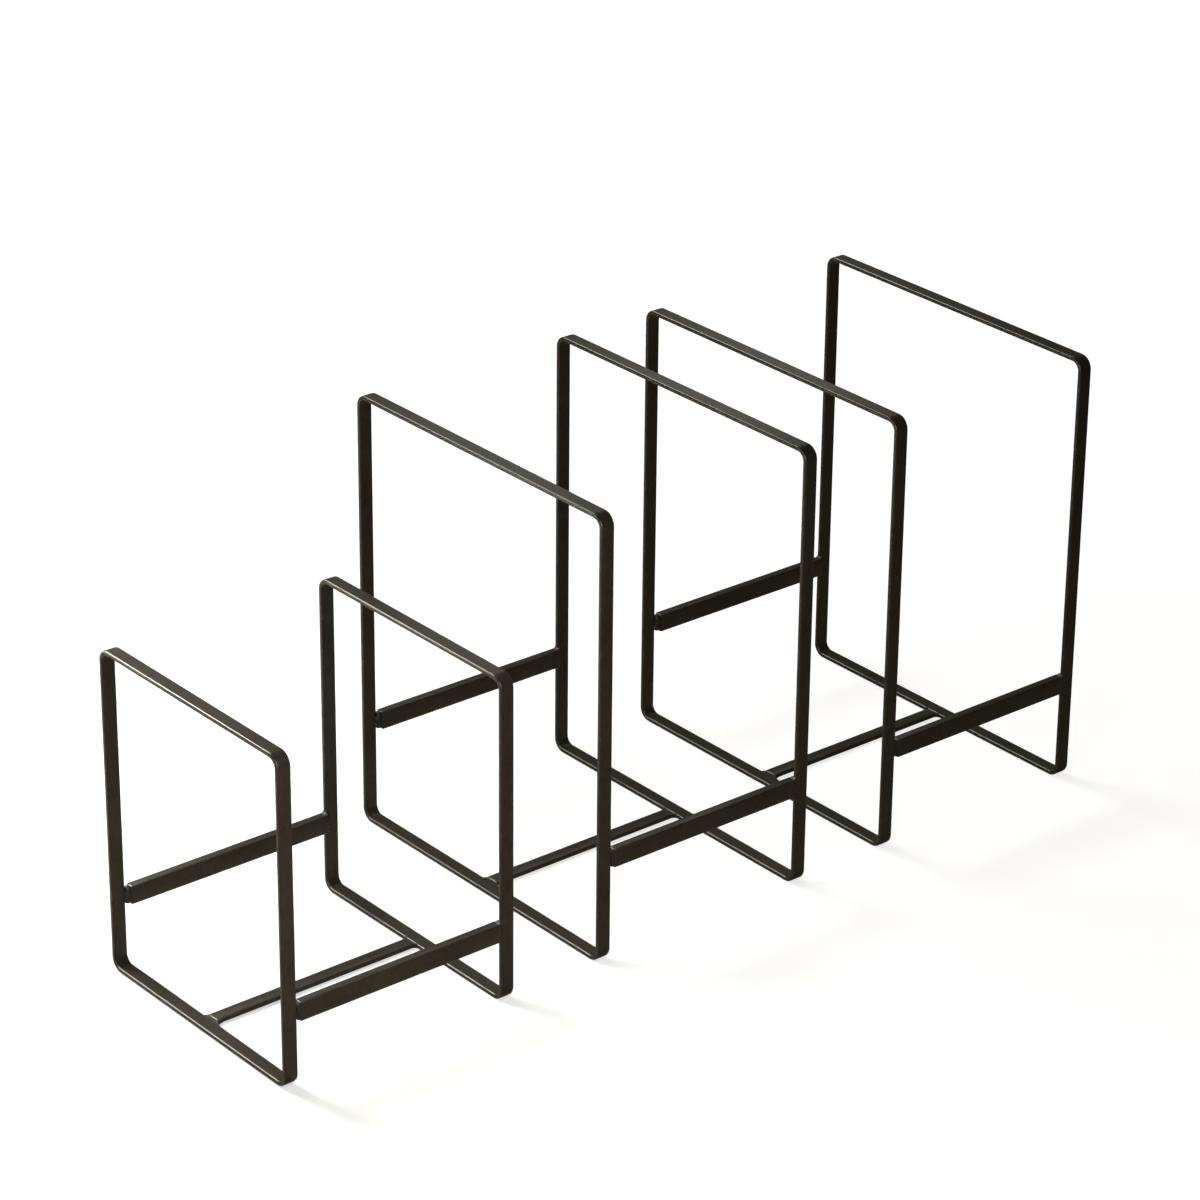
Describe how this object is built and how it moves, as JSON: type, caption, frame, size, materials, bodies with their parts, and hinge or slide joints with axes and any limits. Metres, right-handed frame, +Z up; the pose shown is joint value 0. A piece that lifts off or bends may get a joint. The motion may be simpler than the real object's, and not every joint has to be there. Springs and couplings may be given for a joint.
{
  "type": "countertop dish rack",
  "caption": "Row of free-standing countertop dish racks: bent flat-bar hoops joined by side rails and a flat centre bar, for plates standing on edge.",
  "frame": {"origin": "middle of the row's footprint, on the counter", "axes": "+X along the row, from the small rack in front to the far large rack; +Y to the left across the row, seen from the front; +Z up"},
  "size_m": [0.528, 0.2, 0.248],
  "materials": {
    "hoop_coat": "near-black warm satin powder coat",
    "rail_coat": "near-black warm satin powder coat",
    "weld_coat": "the same powder coat over weld beads"
  },
  "bodies": {
    "middle_rack": {"middle_front_hoop": "hoop_coat", "middle_rear_hoop": "hoop_coat", "middle_left_rail": "rail_coat", "middle_right_rail": "rail_coat", "middle_centre_bar": "rail_coat", "middle_rail_welds": "weld_coat", "middle_bar_welds": "weld_coat"},
    "small_rack": {"small_front_hoop": "hoop_coat", "small_rear_hoop": "hoop_coat", "small_left_rail": "rail_coat", "small_right_rail": "rail_coat", "small_centre_bar": "rail_coat", "small_rail_welds": "weld_coat", "small_bar_welds": "weld_coat"},
    "end_rack": {"end_front_hoop": "hoop_coat", "end_rear_hoop": "hoop_coat", "end_left_rail": "rail_coat", "end_right_rail": "rail_coat", "end_centre_bar": "rail_coat", "end_rail_welds": "weld_coat", "end_bar_welds": "weld_coat"}
  },
  "joints": [
    {"name": "small_slide", "type": "slide", "parent": "middle_rack", "child": "small_rack", "axis": [1, 0, 0], "range_m": [-0.1, 0.05]},
    {"name": "end_slide", "type": "slide", "parent": "middle_rack", "child": "end_rack", "axis": [1, 0, 0], "range_m": [-0.05, 0.1]}
  ]
}
